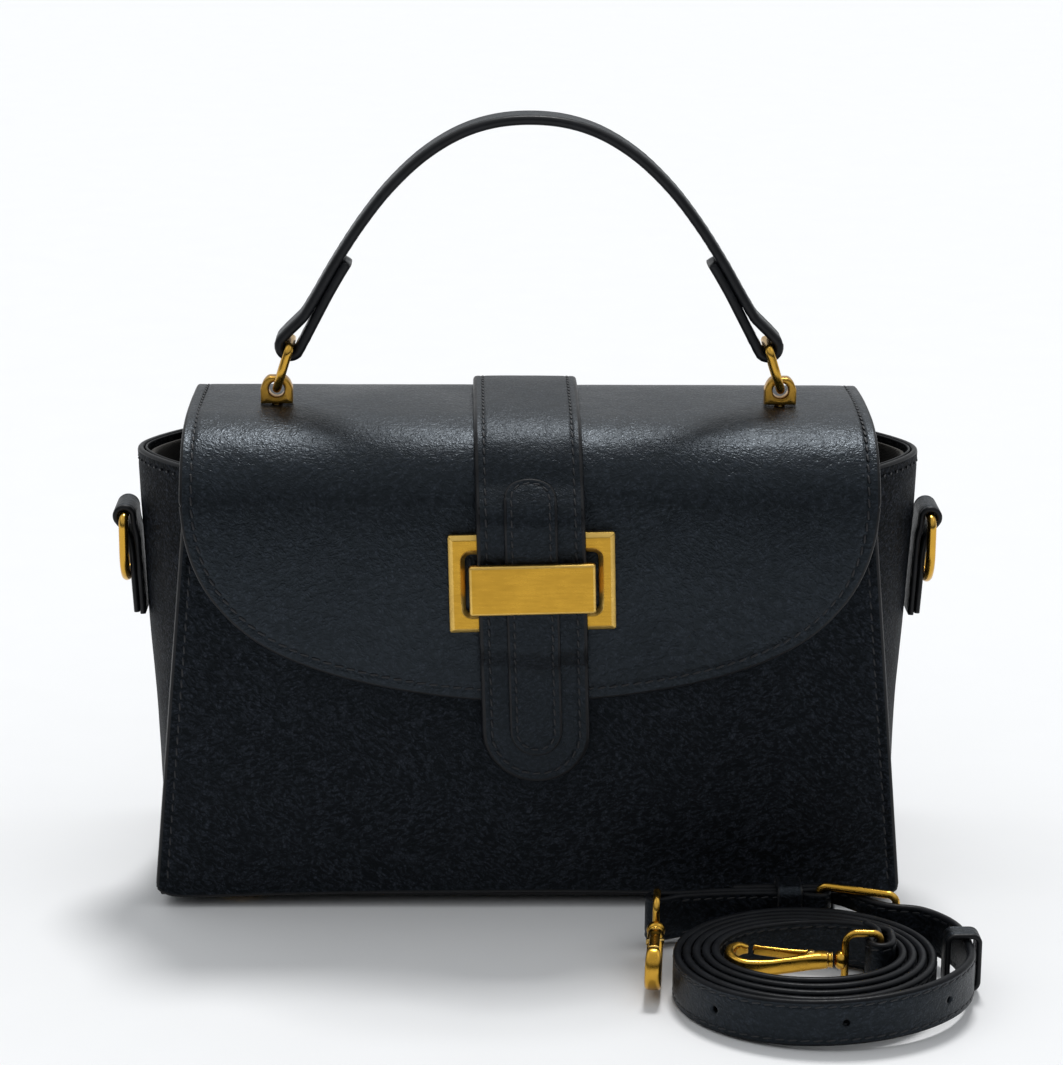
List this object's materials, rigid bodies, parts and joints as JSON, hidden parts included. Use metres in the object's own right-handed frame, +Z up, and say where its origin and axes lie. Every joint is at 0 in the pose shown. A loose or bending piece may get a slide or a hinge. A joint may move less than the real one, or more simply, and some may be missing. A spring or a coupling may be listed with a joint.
{
  "type": "flap satchel bag",
  "caption": "Small structured leather satchel: curved flap with a lock plate and closure strap, short top handle on rings, side D-rings and a detached shoulder strap coiled in front.",
  "frame": {"origin": "on the floor under the middle of the bag's overall width and depth (lock included, shoulder strap left out)", "axes": "+X to the right seen from the front, +Y from the front face to the back, +Z up; the lock faces -Y"},
  "size_m": [0.2821, 0.2165, 0.2604],
  "materials": {
    "leather": "fine creased grain, semi-gloss black",
    "lining_fabric": "woven, matt",
    "brass": "antiqued, brushed",
    "steel": "nickelled",
    "board": "pressed fibreboard, matt"
  },
  "bodies": {
    "bag_body": {"front_panel": "leather", "back_panel": "leather", "base_panel": "leather", "base_board": "board", "gusset_left": "leather", "gusset_right": "leather", "lining": "lining_fabric", "foot_front_left": "brass", "foot_front_right": "brass", "foot_back_left": "brass", "foot_back_right": "brass", "snap_socket": "brass", "snap_washer": "steel", "dring_tab_left": "leather", "dring_tab_right": "leather"},
    "flap": {"flap_leather": "leather", "flap_lining": "lining_fabric", "closure_strap": "leather", "strap_overlay": "leather", "lock_frame": "brass", "lock_bar": "brass", "lock_screw_left": "steel", "lock_screw_right": "steel", "snap_stud": "brass", "handle_lug_left": "brass", "handle_lug_right": "brass", "lug_nut_left": "steel", "lug_nut_right": "steel"},
    "handle": {"handle_strap": "leather", "handle_ring_left": "brass", "handle_ring_right": "brass"},
    "dring_left": {"dring_left": "brass"},
    "dring_right": {"dring_right": "brass"},
    "shoulder_strap": {"shoulder_strap": "leather", "strap_short": "leather", "buckle_frame": "brass", "strap_keeper_fixed": "leather", "strap_keeper_sliding": "leather", "hook_a_eye": "brass", "hook_b_eye": "brass"},
    "buckle_prong": {"buckle_prong": "brass"},
    "hook_a": {"hook_a_body": "brass"},
    "hook_a_gate": {"hook_a_gate": "brass"},
    "hook_b": {"hook_b_body": "brass"},
    "hook_b_gate": {"hook_b_gate": "brass"}
  },
  "joints": [
    {"name": "flap_hinge", "type": "hinge", "parent": "bag_body", "child": "flap", "pos_m": [0, 0.0455, 0.1518], "axis": [-1, 0, 0], "range_deg": [0, 125]},
    {"name": "handle_tilt", "type": "hinge", "parent": "flap", "child": "handle", "pos_m": [0, 0.006, 0.17589], "axis": [1, 0, 0], "range_deg": [-40, 40]},
    {"name": "dring_left_swing", "type": "hinge", "parent": "bag_body", "child": "dring_left", "pos_m": [-0.13644, 0.006, 0.1245], "axis": [0, 1, 0], "range_deg": [0, 150]},
    {"name": "dring_right_swing", "type": "hinge", "parent": "bag_body", "child": "dring_right", "pos_m": [0.13644, 0.006, 0.1245], "axis": [0, -1, 0], "range_deg": [0, 150]},
    {"name": "strap_lift", "type": "slide", "parent": "bag_body", "child": "shoulder_strap", "axis": [0, 0, 1], "range_m": [0, 0.1]},
    {"name": "prong_hinge", "type": "hinge", "parent": "shoulder_strap", "child": "buckle_prong", "pos_m": [0.0945, -0.0736, 0.01045], "axis": [0, 0, 1], "range_deg": [0, 25]},
    {"name": "hook_a_swivel", "type": "hinge", "parent": "shoulder_strap", "child": "hook_a", "pos_m": [0.09511, -0.11412, 0.01045], "axis": [-0.9992, 0.04, 0], "continuous": true},
    {"name": "hook_a_gate_hinge", "type": "hinge", "parent": "hook_a", "child": "hook_a_gate", "pos_m": [0.08783, -0.11094, 0.0108], "axis": [-0.0048, -0.1194, 0.9928], "range_deg": [0, 18], "stiffness_Nm_per_rad": 0.004},
    {"name": "hook_b_swivel", "type": "hinge", "parent": "shoulder_strap", "child": "hook_b", "pos_m": [0.04022, -0.09175, 0.01036], "axis": [-0.0805, -0.9963, -0.0302], "range_deg": [-30, 30]},
    {"name": "hook_b_gate_hinge", "type": "hinge", "parent": "hook_b", "child": "hook_b_gate", "pos_m": [0.03962, -0.09921, 0.01303], "axis": [0.9968, -0.0805, 0], "range_deg": [0, 18], "stiffness_Nm_per_rad": 0.004}
  ]
}
